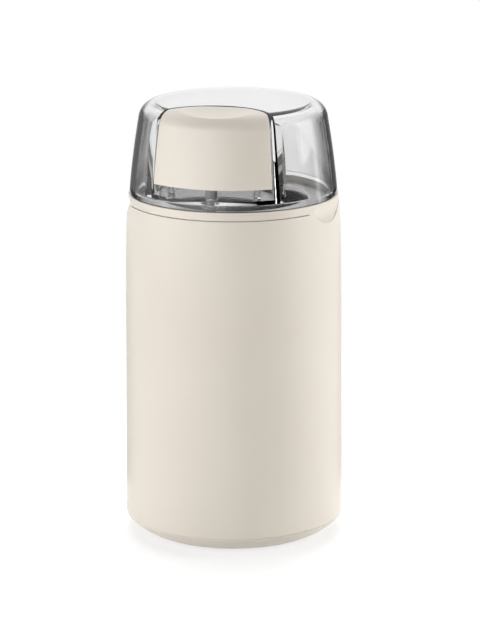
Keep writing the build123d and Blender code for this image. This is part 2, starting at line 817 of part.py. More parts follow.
# Upper motor bracket: plate with four arms, bowl seat, bearing neck and two pillars
with BuildPart() as motor_top_bracket:
    with BuildSketch(Plane.XY.offset(bracket_z)):
        Circle(bracket_radius)
        for bearing in diagonals:
            with Locations(Location((0, 0), bearing)):
                Rectangle(boss_circle, bracket_arm, align=(Align.MIN, Align.CENTER))
            with Locations(spot(boss_circle, bearing)):
                Circle(bracket_arm / 2)
    extrude(amount=bracket_plate)
    with BuildSketch(Plane.XY.offset(bracket_top_z)):
        Circle(spigot_radius + bowl_seat_width)
    extrude(amount=bowl_seat_height)
    with BuildSketch(Plane.XY.offset(bowl_under_z)):
        Circle(spigot_radius)
    extrude(amount=neck_top_z - bowl_under_z)
    with BuildSketch(Plane.XY.offset(stator_top_z)):
        with Locations((0, -pillar_y), (0, pillar_y)):
            Circle(pillar_radius)
    extrude(amount=bracket_z - stator_top_z)
    with BuildSketch(Plane.XY.offset(bracket_z)):
        Circle(bearing_radius)
    extrude(amount=neck_top_z - bracket_z, mode=Mode.SUBTRACT)
    with BuildSketch(Plane.XY.offset(bracket_z)):
        with Locations([spot(boss_circle, bearing) for bearing in diagonals]):
            Circle(screw_radius + slide_gap)
    extrude(amount=bracket_plate, mode=Mode.SUBTRACT)
    with BuildSketch(Plane.XY.offset(stator_top_z)):
        with Locations((0, -pillar_y), (0, pillar_y)):
            Circle(bolt_radius + press_gap)
    extrude(amount=bracket_z - stator_top_z + bracket_plate / 2, mode=Mode.SUBTRACT)
motor_top_bracket.part.label = "motor_top_bracket"

# Screws that hang the motor from the collar's bosses
with BuildPart() as bracket_screws:
    for bearing in diagonals:
        with BuildSketch(Plane.XY.offset(bracket_z - screw_head)):
            with Locations(spot(boss_circle, bearing)):
                Circle(screw_head_radius)
        extrude(amount=screw_head)
        with BuildSketch(Plane.XY.offset(bracket_z)):
            with Locations(spot(boss_circle, bearing)):
                Circle(screw_radius)
        extrude(amount=bracket_plate + screw_bite)
bracket_screws.part.label = "bracket_screws"

# Nut that clamps the bowl on the bracket's neck
with BuildPart() as bowl_nut:
    with BuildSketch(Plane.XY.offset(bowl_floor_z)):
        RegularPolygon(bowl_nut_width / 2, 6, major_radius=False)
        Circle(spigot_radius + press_gap, mode=Mode.SUBTRACT)
    extrude(amount=bowl_nut_height)
bowl_nut.part.label = "bowl_nut"

# Bearings and the lip seal above the upper one
with BuildPart() as upper_bearing:
    with BuildSketch(Plane.XY.offset(bearing_z)):
        Circle(bearing_radius - press_gap)
        Circle(shaft_radius + shaft_gap, mode=Mode.SUBTRACT)
    extrude(amount=bearing_length)
upper_bearing.part.label = "upper_bearing"

with BuildPart() as shaft_seal:
    with BuildSketch(Plane.XY.offset(seal_z)):
        Circle(bearing_radius - press_gap)
        Circle(shaft_radius + shaft_gap, mode=Mode.SUBTRACT)
    extrude(amount=seal_length)
    with BuildSketch(Plane.XY.offset(seal_z + seal_length)):
        Circle((bearing_radius + shaft_radius) / 2 + shaft_gap)
        Circle(shaft_radius + seal_length / 3, mode=Mode.SUBTRACT)
    extrude(amount=-seal_length / 2, mode=Mode.SUBTRACT)
shaft_seal.part.label = "shaft_seal"

lower_bearing_length = lower_top_z - shaft_z
with BuildPart() as lower_bearing:
    with BuildSketch(Plane.XY.offset(shaft_z)):
        Circle(bearing_radius - press_gap)
        Circle(shaft_radius + shaft_gap, mode=Mode.SUBTRACT)
    extrude(amount=lower_bearing_length)
lower_bearing.part.label = "lower_bearing"

with BuildPart() as thrust_plate:
    with BuildSketch(Plane.XY.offset(cup_z + cup_wall)):
        Circle(bearing_radius - press_gap)
    extrude(amount=thrust_disc)
thrust_plate.part.label = "thrust_plate"

# Lower motor bracket: bridge with pillars, bearing cup, brush pads and the capacitor's shelf
pad_inner = commutator_radius + brush_length / 2
pad_outer = commutator_radius + brush_clear + brush_tube_length
shelf_y = pillar_y + pillar_radius + cap_shelf_gap
with BuildPart() as motor_bottom_bracket:
    with BuildSketch(Plane.XY.offset(lower_z)):
        Rectangle(2 * pillar_radius, 2 * pillar_y)
        with Locations((0, -pillar_y), (0, pillar_y)):
            Circle(pillar_radius)
        Circle(bearing_radius + 2 * cup_wall)
        Rectangle(2 * pad_outer, brush_width + 4 * brush_tube_wall)
        with Locations((0, pillar_y)):
            Rectangle(
                cap_length, shelf_y - pillar_y + cap_width, align=(Align.CENTER, Align.MIN)
            )
    extrude(amount=bracket_plate)
    with BuildSketch(Plane.XY.offset(lower_top_z)):
        with Locations((0, -pillar_y), (0, pillar_y)):
            Circle(pillar_radius)
    extrude(amount=stator_z - lower_top_z)
    with BuildSketch(Plane.XY.offset(lower_top_z)):
        for side in (-1, 1):
            with Locations((side * (pad_inner + pad_outer) / 2, 0)):
                Rectangle(pad_outer - pad_inner, brush_width + 2 * brush_tube_wall)
    extrude(amount=brush_clear)
    with BuildSketch(Plane.XY.offset(cup_z)):
        Circle(cup_radius)
    extrude(amount=cup_depth)
    with BuildSketch(Plane.XY.offset(cup_z + cup_wall)):
        Circle(bearing_radius)
    extrude(amount=cup_depth + bracket_plate, mode=Mode.SUBTRACT)
    with BuildSketch(Plane.XY.offset(lower_z)):
        with Locations((0, -pillar_y), (0, pillar_y)):
            Circle(bolt_radius + press_gap)
    extrude(amount=stator_z - lower_z, mode=Mode.SUBTRACT)
motor_bottom_bracket.part.label = "motor_bottom_bracket"

# Through bolts of the motor
with BuildPart() as motor_bolts:
    with BuildSketch(Plane.XY.offset(lower_z - bolt_head)):
        with Locations((0, -pillar_y), (0, pillar_y)):
            RegularPolygon(bolt_head_radius, 6)
    extrude(amount=bolt_head)
    with BuildSketch(Plane.XY.offset(lower_z)):
        with Locations((0, -pillar_y), (0, pillar_y)):
            Circle(bolt_radius)
    extrude(amount=bracket_z - lower_z)
motor_bolts.part.label = "motor_bolts"

# Stator: one stack with its yoke and two pole shoes
with BuildPart() as stator_core:
    with BuildSketch(Plane.XY.offset(stator_z)):
        RectangleRounded(2 * (window_x + stator_yoke), 2 * (window_y + stator_side), stator_corner)
        RectangleRounded(2 * window_x, 2 * window_y, stator_corner - stator_yoke, mode=Mode.SUBTRACT)
        for side in (0, 180):
            with Locations(Location((0, 0), side)):
                Rectangle(window_x + press_gap, pole_neck, align=(Align.MIN, Align.CENTER))
            with BuildLine():
                half = pole_span / 2
                outer_arc = CenterArc((0, 0), shoe_radius, side - half, pole_span)
                inner_arc = CenterArc((0, 0), stator_bore, side - half, pole_span)
                Line(outer_arc @ 0, inner_arc @ 0)
                Line(outer_arc @ 1, inner_arc @ 1)
            make_face()
        Circle(stator_bore, mode=Mode.SUBTRACT)
        with Locations((0, -pillar_y), (0, pillar_y)):
            Circle(bolt_radius + slide_gap, mode=Mode.SUBTRACT)
    extrude(amount=stator_stack)
stator_core.part.label = "stator_core"

# Field coils: rounded frames round the two pole necks
coil_inner_x = shoe_radius + coil_gap
coil_outer_x = window_x - coil_gap
field_coils = []
for side in (-1, 1):
    with BuildPart() as field_coil:
        with BuildSketch(Plane.YZ.offset(side * coil_inner_x)):
            with Locations((0, stator_z + stator_stack / 2)):
                RectangleRounded(
                    pole_neck + 2 * coil_gap + 2 * coil_build,
                    stator_stack + 2 * coil_gap + 2 * coil_build,
                    coil_build,
                )
                Rectangle(pole_neck + 2 * coil_gap, stator_stack + 2 * coil_gap, mode=Mode.SUBTRACT)
        extrude(amount=side * (coil_outer_x - coil_inner_x))
    field_coil.part.label = "field_coil_left" if side < 0 else "field_coil_right"
    field_coils.append(field_coil.part)

# Shaft, thrust washer and armature stack
shaft_top_z = blade_top_z + nut_height
with BuildPart() as motor_shaft:
    with BuildSketch(Plane.XY.offset(shaft_z)):
        Circle(shaft_radius)
    extrude(amount=shaft_top_z - shaft_z)
    chamfer(motor_shaft.edges().group_by(Axis.Z)[-1], shaft_radius / 6)
motor_shaft.part.label = "motor_shaft"

with BuildPart() as armature_core:
    with BuildSketch(Plane.XY.offset(stator_z)):
        Circle(armature_radius)
        Circle(shaft_radius + press_gap, mode=Mode.SUBTRACT)
        with PolarLocations(armature_radius, slot_count):
            Rectangle(2 * slot_width, slot_mouth, mode=Mode.SUBTRACT)
        with PolarLocations(armature_radius - slot_width / 3 - slot_depth / 2, slot_count):
            SlotOverall(slot_depth, slot_width, mode=Mode.SUBTRACT)
    extrude(amount=stator_stack)
armature_core.part.label = "armature_core"

# End turns of the armature winding, a domed ring at each end of the stack
turn_inner = shaft_radius + slot_width
with BuildPart() as armature_winding:
    for level, way in ((stator_top_z, 1), (stator_z, -1)):
        with BuildSketch(Plane.XZ):
            with BuildLine():
                Polyline(
                    (turn_inner, level),
                    (end_turn_radius, level),
                    (end_turn_radius - slot_width / 2, level + way * end_turn_height),
                    (turn_inner, level + way * end_turn_height),
                    close=True,
                )
            make_face()
            far = vertices().group_by(Axis.Y)[-1 if way > 0 else 0].sort_by(Axis.X)[-1]
            fillet(far, slot_width)
        revolve(axis=Axis.Z)
armature_winding.part.label = "armature_winding"

# Commutator with its bars and risers
commutator_z = brush_z - brush_height / 2 - commutator_end
with BuildPart() as commutator:
    with BuildSketch(Plane.XY.offset(commutator_z)):
        Circle(commutator_radius)
        Circle(shaft_radius + press_gap, mode=Mode.SUBTRACT)
        with PolarLocations(commutator_radius, slot_count):
            Rectangle(2 * bar_depth, bar_gap, mode=Mode.SUBTRACT)
    extrude(amount=riser_z - commutator_z)
    with BuildSketch(Plane.XY.offset(riser_z)):
        Circle(commutator_radius + commutator_riser)
        Circle(shaft_radius + press_gap, mode=Mode.SUBTRACT)
        with PolarLocations(commutator_radius + commutator_riser, slot_count):
            Rectangle(2 * (bar_depth + commutator_riser), bar_gap, mode=Mode.SUBTRACT)
    extrude(amount=riser_height)
commutator.part.label = "commutator"

# Cooling fan on the shaft, under the upper bracket
with BuildPart() as cooling_fan:
    with BuildSketch(Plane.XY.offset(fan_z)):
        Circle(fan_radius)
    extrude(amount=fan_disc)
    with BuildSketch(Plane.XY.offset(fan_z)):
        Circle(fan_hub_radius)
    extrude(amount=fan_height)
    with BuildSketch(Plane.XY.offset(fan_z)):
        with PolarLocations((fan_hub_radius + fan_radius) / 2, fan_blades):
            Rectangle(fan_radius - fan_hub_radius, fan_blade_wall, rotation=18)
    extrude(amount=fan_height)
    with BuildSketch(Plane.XY.offset(fan_z)):
        Circle(shaft_radius + press_gap)
    extrude(amount=fan_height, mode=Mode.SUBTRACT)
cooling_fan.part.label = "cooling_fan"

with BuildPart() as thrust_washer:
    with BuildSketch(Plane.XY.offset(fan_z + fan_height)):
        Circle(bearing_radius - seat_gap)
        Circle(shaft_radius + press_gap, mode=Mode.SUBTRACT)
    extrude(amount=bearing_z - fan_z - fan_height - play)
thrust_washer.part.label = "thrust_washer"

# Brushes with their tubes and springs, one set on each side of the commutator
tube_start = commutator_radius + brush_clear
tube_end = tube_start + brush_tube_length
brush_end = commutator_radius + press_gap + brush_length
brush_pieces = []
for side, name in ((-1, "left"), (1, "right")):
    level = Plane(origin=(0, 0, brush_z), x_dir=(0, 1, 0), z_dir=(side, 0, 0))
    with BuildPart() as brush_tube:
        with BuildSketch(level.offset(tube_start)):
            Rectangle(
                brush_width + 2 * brush_gap + 2 * brush_tube_wall,
                brush_height + 2 * brush_gap + 2 * brush_tube_wall,
            )
        extrude(amount=brush_tube_length)
        with BuildSketch(level.offset(tube_start)):
            Rectangle(brush_width + 2 * brush_gap, brush_height + 2 * brush_gap)
        extrude(amount=brush_tube_length - brush_tube_wall, mode=Mode.SUBTRACT)
    brush_tube.part.label = "brush_tube_" + name
    with BuildPart() as carbon_brush:
        with BuildSketch(level):
            Rectangle(brush_width, brush_height)
        extrude(amount=brush_end)
        with BuildSketch(Plane.XY.offset(brush_z - brush_height)):
            Circle(commutator_radius + press_gap)
        extrude(amount=2 * brush_height, mode=Mode.SUBTRACT)
    carbon_brush.part.label = "carbon_brush_" + name
    with BuildPart() as brush_spring:
        wound = coil(
            brush_spring_radius,
            brush_spring_wire,
            brush_spring_turns,
            tube_end - brush_tube_wall - brush_end - 2 * press_gap,
        )
        add(wound.moved(level.offset(brush_end + press_gap).location))
    brush_spring.part.label = "brush_spring_" + name
    brush_pieces += [brush_tube.part, carbon_brush.part, brush_spring.part]

# Suppression capacitor on the lower bracket's shelf
with BuildPart() as suppression_capacitor:
    with BuildSketch(Plane.XY.offset(lower_top_z)):
        with Locations((0, shelf_y + cap_width / 2)):
            Rectangle(cap_length, cap_width)
    extrude(amount=cap_height)
    fillet(suppression_capacitor.edges().group_by(Axis.Z)[-1], cap_width / 8)
suppression_capacitor.part.label = "suppression_capacitor"

# Rubber ring that carries the motor on the base's post
damper_inner = cup_radius - damper_width
with BuildPart() as motor_damper:
    with BuildSketch(Plane.XY.offset(damper_z)):
        Circle(cup_radius)
        Circle(damper_inner, mode=Mode.SUBTRACT)
    extrude(amount=damper_height)
motor_damper.part.label = "motor_damper"

# Blade hub: a cap over the bearing neck, with the blade and its nut above
with BuildPart() as blade_hub:
    with BuildSketch(Plane.XZ):
        with BuildLine():
            Polyline(
                (shaft_radius + press_gap, neck_top_z + hub_clear),
                (spigot_radius + hub_clear, neck_top_z + hub_clear),
                (spigot_radius + hub_clear, hub_z),
                (hub_radius + hub_clear, hub_z),
                (hub_neck_radius, blade_z),
                (shaft_radius + press_gap, blade_z),
                close=True,
            )
        make_face()
    revolve(axis=Axis.Z)
blade_hub.part.label = "blade_hub"

# Blade: one wing bent up and the other down, each ground along its leading edge
with BuildPart() as blade:
    with BuildSketch(Plane.XY.offset(blade_z)):
        Rectangle(2 * blade_flat, blade_width)
        Circle(shaft_radius + press_gap, mode=Mode.SUBTRACT)
    extrude(amount=blade_sheet)
    for side in (-1, 1):
        wing = Plane(
            origin=(side * blade_flat, 0, blade_z),
            x_dir=(side * cos(radians(blade_bend)), 0, sin(radians(blade_bend)) * side),
            z_dir=(-sin(radians(blade_bend)), 0, cos(radians(blade_bend))),
        )
        reach = (blade_radius - blade_flat) / cos(radians(blade_bend))
        with BuildSketch(wing):
            with BuildLine():
                lead = Line((-blade_sheet / 3, -blade_width / 2), (reach, -blade_tip_width / 2))
                tip = ThreePointArc(
                    lead @ 1, (reach + blade_sheet / 2, 0), (reach, blade_tip_width / 2)
                )
                trail = Line(tip @ 1, (-blade_sheet / 3, blade_width / 2))
                Line(trail @ 1, lead @ 0)
            make_face()
        extrude(amount=blade_sheet)
        run = reach + blade_sheet / 3
        slant = atan2((blade_width - blade_tip_width) / 2, run)
        grind = Plane(
            origin=wing.from_local_coords(Vector(-blade_sheet / 3, -blade_width / 2, 0)),
            x_dir=wing.y_dir * cos(slant) - wing.x_dir * sin(slant),
            z_dir=wing.x_dir * cos(slant) + wing.y_dir * sin(slant),
        )
        with BuildSketch(grind):
            with BuildLine():
                Polyline(
                    (-blade_sheet, blade_sheet / 3),
                    (0, blade_sheet / 3),
                    (blade_edge, blade_sheet),
                    (blade_edge, 2 * blade_sheet),
                    (-blade_sheet, 2 * blade_sheet),
                    close=True,
                )
            make_face()
        extrude(amount=run + blade_sheet, mode=Mode.SUBTRACT)
blade.part.label = "blade"

# Domed nut on the shaft's end
with BuildPart() as blade_nut:
    with BuildSketch(Plane.XY.offset(blade_top_z)):
        RegularPolygon(nut_width / 2, 6, major_radius=False)
    extrude(amount=nut_height)
    with BuildSketch(Plane.XZ):
        with BuildLine():
            cap_top = nut_height + nut_dome
            Polyline((nut_width / 2, blade_top_z + nut_height), (0, blade_top_z + nut_height))
            Line((0, blade_top_z + nut_height), (0, blade_top_z + cap_top))
            ThreePointArc(
                (0, blade_top_z + cap_top),
                (nut_width / 2 * 0.6, blade_top_z + nut_height + nut_dome * 0.7),
                (nut_width / 2, blade_top_z + nut_height),
            )
        make_face()
    revolve(axis=Axis.Z)
    with BuildSketch(Plane.XY.offset(blade_top_z)):
        Circle(shaft_radius + press_gap)
    extrude(amount=nut_height + press_gap, mode=Mode.SUBTRACT)
blade_nut.part.label = "blade_nut"

# Base cover: rounded rim, spigot into the housing, screw posts, damper post, foot recesses, air slots
spigot_outer = body_bottom_radius - housing_wall - 2 * seat_gap
rim_top_radius = body_bottom_radius
with BuildPart() as base_cover:
    with BuildSketch(Plane.XZ):
        with BuildLine():
            rim_chord = Vector(rim_top_radius - base_floor_radius, base_rise)
            rim_middle = Vector((rim_top_radius + base_floor_radius) / 2, base_z + base_rise / 2)
            rim_swell = Vector(rim_chord.Y, -rim_chord.X).normalized() * base_swell
            Polyline((0, base_inside_z), (0, base_z), (base_floor_radius, base_z))
            ThreePointArc(
                (base_floor_radius, base_z), rim_middle + rim_swell, (rim_top_radius, base_top_z)
            )
            Polyline(
                (rim_top_radius, base_top_z),
                (spigot_outer, base_top_z),
                (spigot_outer, base_top_z + spigot_height),
                (spigot_outer - spigot_wall, base_top_z + spigot_height),
                (spigot_outer - spigot_wall, base_top_z - base_floor / 2),
                (base_floor_radius, base_inside_z),
                (0, base_inside_z),
            )
        make_face()
        low = vertices().group_by(Axis.Y)[0].sort_by(Axis.X)[-1]
        fillet(low, base_edge_round)
        fillet(vertices().sort_by(Axis.X)[-1], rim_edge_round)
    revolve(axis=Axis.Z)
    for bearing in diagonals:
        with BuildSketch(Plane.XY.offset(base_inside_z)):
            with Locations(spot(base_screw_circle, bearing)):
                Circle(base_head_radius + seat_gap + base_floor / 2)
        extrude(amount=base_post_height)
    with BuildSketch(Plane.XY.offset(base_inside_z)):
        Circle(cup_radius)
        Circle(cup_radius - base_post_wall, mode=Mode.SUBTRACT)
    extrude(amount=motor_post_height)
    with BuildSketch(Plane.XY.offset(base_z)):
        with Locations([spot(base_screw_circle, bearing) for bearing in diagonals]):
            Circle(base_screw_radius + slide_gap)
    extrude(amount=base_floor + base_post_height, mode=Mode.SUBTRACT)
    with BuildSketch(Plane.XY.offset(base_z)):
        with Locations([spot(base_screw_circle, bearing) for bearing in diagonals]):
            Circle(base_head_radius + seat_gap)
    extrude(amount=base_floor + base_post_height - base_seat, mode=Mode.SUBTRACT)
    with BuildSketch(Plane.XY.offset(base_z)):
        with Locations([spot(foot_circle, bearing) for bearing in quarters]):
            Circle(foot_radius + foot_gap)
    extrude(amount=foot_sink, mode=Mode.SUBTRACT)
    with BuildSketch(Plane.XY.offset(base_z)):
        with PolarLocations((air_slot_inner + air_slot_outer) / 2, air_slots):
            SlotOverall(air_slot_outer - air_slot_inner, air_slot_width)
    extrude(amount=base_floor, mode=Mode.SUBTRACT)
base_cover.part.label = "base_cover"

# Screws of the base, up into the housing's bosses
base_seat_z = base_inside_z + base_post_height - base_seat
with BuildPart() as base_screws:
    with BuildSketch(Plane.XY.offset(base_seat_z - base_head)):
        with Locations([spot(base_screw_circle, bearing) for bearing in diagonals]):
            Circle(base_head_radius)
    extrude(amount=base_head)
    with BuildSketch(Plane.XY.offset(base_seat_z)):
        with Locations([spot(base_screw_circle, bearing) for bearing in diagonals]):
            Circle(base_screw_radius)
    extrude(amount=base_seat + base_screw_bite)
base_screws.part.label = "base_screws"

# Feet
feet = []
for bearing, name in zip(quarters, ("right", "back", "left", "front")):
    with BuildPart() as foot:
        with BuildSketch():
            with Locations(spot(foot_circle, bearing)):
                Circle(foot_radius)
        extrude(amount=foot_drop + foot_sink)
        fillet(foot.edges().group_by(Axis.Z)[0], foot_drop / 2)
    foot.part.label = "foot_" + name
    feet.append(foot.part)

# Gland for the mains lead, flush with the housing at the back
gland_half = inlet_width / 2 + gland_wall + gland_flange
inner_wall_y = sqrt((body_bottom_radius - housing_wall) ** 2 - gland_half**2)
gland_inner_y = inner_wall_y - 2 * seat_gap
with BuildPart() as cord_gland:
    with BuildSketch(Plane.XZ.offset(-body_bottom_radius)):
        with Locations((0, inlet_z)):
            SlotOverall(
                inlet_width + 2 * gland_wall - 2 * press_gap, inlet_rise + 2 * gland_wall - 2 * press_gap
            )
    extrude(amount=body_bottom_radius - gland_inner_y)
    with BuildSketch(Plane.XZ.offset(-gland_inner_y)):
        with Locations((0, inlet_z)):
            SlotOverall(
                inlet_width + 2 * gland_wall + 2 * gland_flange,
                inlet_rise + 2 * gland_wall + 2 * gland_flange,
            )
    extrude(amount=gland_flange_wall)
    add(body_form(0, housing_z, housing_top_z), mode=Mode.INTERSECT)
    with BuildSketch(Plane.XZ.offset(-body_bottom_radius)):
        with Locations((0, inlet_z)):
            SlotOverall(inlet_width, inlet_rise)
    extrude(amount=2 * body_bottom_radius - 2 * gland_inner_y + gland_flange_wall, mode=Mode.SUBTRACT)
cord_gland.part.label = "cord_gland"

pieces = [
    housing.part,
    top_collar.part,
    grinding_bowl.part,
    bowl_gasket.part,
    lid_shell.part,
    button_cap.part,
    push_pin.part,
    switch_plunger.part,
    plunger_spring.part,
    switch_case.part,
    switch_slider.part,
    switch_tabs.part,
    switch_carrier.part,
    motor_top_bracket.part,
    bracket_screws.part,
    bowl_nut.part,
    upper_bearing.part,
    shaft_seal.part,
    lower_bearing.part,
    thrust_plate.part,
    motor_bottom_bracket.part,
    motor_bolts.part,
    stator_core.part,
    motor_shaft.part,
    armature_core.part,
    armature_winding.part,
    commutator.part,
    cooling_fan.part,
    thrust_washer.part,
    suppression_capacitor.part,
    motor_damper.part,
    blade_hub.part,
    blade.part,
    blade_nut.part,
    base_cover.part,
    base_screws.part,
    cord_gland.part,
]
pieces += field_coils + brush_pieces + feet

os.makedirs("parts", exist_ok=True)
for piece in pieces:
    export_step(piece, "parts/" + piece.label + ".step")
print(len(pieces), "pieces, from", housing_z, "to", lid_top_z)
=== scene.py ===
"""Looks of the electric coffee grinder: finishes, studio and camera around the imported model."""

import math

import bpy
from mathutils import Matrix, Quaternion, Vector


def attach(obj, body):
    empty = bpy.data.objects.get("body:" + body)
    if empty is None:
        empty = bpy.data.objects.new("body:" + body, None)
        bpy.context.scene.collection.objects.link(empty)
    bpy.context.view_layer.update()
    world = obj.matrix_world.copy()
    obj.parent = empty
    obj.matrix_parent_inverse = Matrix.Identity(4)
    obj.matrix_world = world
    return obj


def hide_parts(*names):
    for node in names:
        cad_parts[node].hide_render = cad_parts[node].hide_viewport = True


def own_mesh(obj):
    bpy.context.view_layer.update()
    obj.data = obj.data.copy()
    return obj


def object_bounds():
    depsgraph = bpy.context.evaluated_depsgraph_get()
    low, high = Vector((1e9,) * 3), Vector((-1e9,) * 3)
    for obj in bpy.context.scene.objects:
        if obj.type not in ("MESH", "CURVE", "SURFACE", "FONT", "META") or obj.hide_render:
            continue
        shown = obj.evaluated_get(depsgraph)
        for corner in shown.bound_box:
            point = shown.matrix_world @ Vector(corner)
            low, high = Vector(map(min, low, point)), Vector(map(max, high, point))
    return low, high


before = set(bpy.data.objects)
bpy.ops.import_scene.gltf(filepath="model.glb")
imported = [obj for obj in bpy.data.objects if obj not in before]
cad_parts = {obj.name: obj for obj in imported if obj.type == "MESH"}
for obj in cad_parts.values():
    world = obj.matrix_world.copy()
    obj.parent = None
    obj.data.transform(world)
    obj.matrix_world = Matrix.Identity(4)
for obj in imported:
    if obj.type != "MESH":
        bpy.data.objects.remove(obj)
cad_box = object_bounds()

# Camera, from the photograph's frame of 480 by 638 pixels
IMAGE_HIGH = 638
SENSOR = 36.0  # millimetres along the long side
FOCAL_PIXELS = 3160
CAMERA_AZIMUTH = math.radians(14.2)
CAMERA_DISTANCE = 1.260
CAMERA_HEIGHT = 0.406
AIM_HEIGHT = 0.0881
AXIS_OFF_CENTRE = 6.2  # pixels that the object's axis lies left of the middle
CAMERA_ROLL = math.radians(-0.14)

# Finishes
NOISE_LOW = 0.3  # most values of a noise node lie between these two
NOISE_HIGH = 0.7
PLASTIC_UNEVEN = 0.03  # how far the roughness strays to each side
METAL_UNEVEN = 0.06

# Studio
WHITE = (1.0, 1.0, 1.0, 1.0)
BLACK = (0.0, 0.0, 0.0, 1.0)
WARM_WHITE = (0.88, 0.86, 0.83, 1.0)  # what the floor throws back on the object
# The floor's painted contact shadow is at its darkest where no more than this share of the sky is open
OPEN_BESIDE_WALL = 0.5  # share of the sky that the floor sees at the foot of a wall
CARD_COLUMNS = 20
CARD_ROWS = 8


def linear(red, green, blue):
    """A colour given in 0 to 255 as the photograph shows it, in the renderer's linear values."""

    def one(value):
        share = value / 255
        return share / 12.92 if share <= 0.04045 else ((share + 0.055) / 1.055) ** 2.4

    return (one(red), one(green), one(blue), 1.0)


def grey(level):
    return linear(level, level, level)


class Finish:
    """A material with its Principled shader and short ways to add nodes."""

    def __init__(self, name):
        self.material = bpy.data.materials.new(name)
        self.material.use_nodes = True
        self.nodes = self.material.node_tree.nodes
        self.links = self.material.node_tree.links
        self.shader = self.nodes["Principled BSDF"]
        self.place = self.nodes.new("ShaderNodeTexCoord").outputs["Object"]

    def set(self, **values):
        for name, value in values.items():
            self.shader.inputs[name.replace("_", " ")].default_value = value

    def stretched(self, scale):
        """The place on the object, stretched by a scale along X, Y and Z."""
        node = self.nodes.new("ShaderNodeMapping")
        node.inputs["Scale"].default_value = scale
        self.links.new(self.place, node.inputs["Vector"])
        return node.outputs["Vector"]

    def rings(self, scale):
        """The place on the object as its distance from the Z axis and its height."""
        flat = self.nodes.new("ShaderNodeVectorMath")
        flat.operation = "MULTIPLY"
        flat.inputs[1].default_value = (scale, scale, 0.0)
        reach = self.nodes.new("ShaderNodeVectorMath")
        reach.operation = "LENGTH"
        upright = self.nodes.new("ShaderNodeVectorMath")
        upright.operation = "MULTIPLY"
        upright.inputs[1].default_value = (0.0, 0.0, scale)
        both = self.nodes.new("ShaderNodeVectorMath")
        both.operation = "ADD"
        level = self.nodes.new("ShaderNodeCombineXYZ")
        self.links.new(self.place, flat.inputs[0])
        self.links.new(self.place, upright.inputs[0])
        self.links.new(flat.outputs["Vector"], reach.inputs[0])
        self.links.new(reach.outputs["Value"], level.inputs["X"])
        self.links.new(level.outputs["Vector"], both.inputs[0])
        self.links.new(upright.outputs["Vector"], both.inputs[1])
        return both.outputs["Vector"]

    def noise(self, scale, detail, vector=None):
        node = self.nodes.new("ShaderNodeTexNoise")
        node.inputs["Scale"].default_value = scale
        node.inputs["Detail"].default_value = detail
        self.links.new(vector or self.place, node.inputs["Vector"])
        return node.outputs["Fac"]

    def ramp(self, factor, low, high):
        """Two colours, blended by a noise."""
        node = self.nodes.new("ShaderNodeValToRGB")
        node.color_ramp.elements[0].position = NOISE_LOW
        node.color_ramp.elements[0].color = low
        node.color_ramp.elements[1].position = NOISE_HIGH
        node.color_ramp.elements[1].color = high
        self.links.new(factor, node.inputs["Fac"])
        return node.outputs["Color"]

    def spread(self, factor, low, high):
        """A number from low to high, by a noise."""
        node = self.nodes.new("ShaderNodeMapRange")
        node.inputs["From Min"].default_value = NOISE_LOW
        node.inputs["From Max"].default_value = NOISE_HIGH
        node.inputs["To Min"].default_value = low
        node.inputs["To Max"].default_value = high
        self.links.new(factor, node.inputs["Value"])
        return node.outputs["Result"]

    def feed(self, output, socket):
        self.links.new(output, self.shader.inputs[socket])

    def bump(self, height, depth, strength):
        node = self.nodes.new("ShaderNodeBump")
        node.inputs["Distance"].default_value = depth
        node.inputs["Strength"].default_value = strength
        self.links.new(height, node.inputs["Height"])
        self.links.new(node.outputs["Normal"], self.shader.inputs["Normal"])


def plastic(name, low, high, roughness, grain=2600.0, ior=1.5):
    """Moulded plastic or rubber: slow colour drift, fine grain and a slightly uneven gloss."""
    finish = Finish(name)
    drift = finish.noise(scale=14.0, detail=3.0)
    gloss = finish.noise(scale=180.0, detail=4.0)
    finish.feed(finish.ramp(drift, low, high), "Base Color")
    finish.feed(finish.spread(gloss, roughness - PLASTIC_UNEVEN, roughness + PLASTIC_UNEVEN), "Roughness")
    finish.bump(finish.noise(scale=grain, detail=1.0), depth=0.00002, strength=0.25)
    finish.set(IOR=ior)
    return finish.material


def metal(name, low, high, roughness, stretch=(60.0, 60.0, 900.0)):
    """Bare metal with fine marks that a stretch draws out, or with turned rings where it is None."""
    finish = Finish(name)
    place = finish.stretched(stretch) if stretch else finish.rings(scale=160.0)
    marks = finish.noise(scale=12.0, detail=6.0, vector=place)
    finish.feed(finish.ramp(marks, low, high), "Base Color")
    finish.feed(finish.spread(marks, roughness - METAL_UNEVEN, roughness + METAL_UNEVEN), "Roughness")
    finish.bump(marks, depth=0.00002, strength=0.2)
    finish.set(Metallic=1.0)
    return finish.material


def clear_plastic(name):
    """Clear moulded plastic, a little smoky, with faint flow marks."""
    finish = Finish(name)
    smoke = finish.noise(scale=30.0, detail=2.0)
    gloss = finish.noise(scale=60.0, detail=3.0)
    finish.set(Transmission_Weight=1.0, IOR=1.49)
    finish.feed(finish.ramp(smoke, grey(242), grey(245)), "Base Color")
    finish.feed(finish.spread(gloss, low=0.0, high=0.03), "Roughness")
    finish.bump(finish.noise(scale=55.0, detail=1.0), depth=0.0002, strength=0.08)
    return finish.material


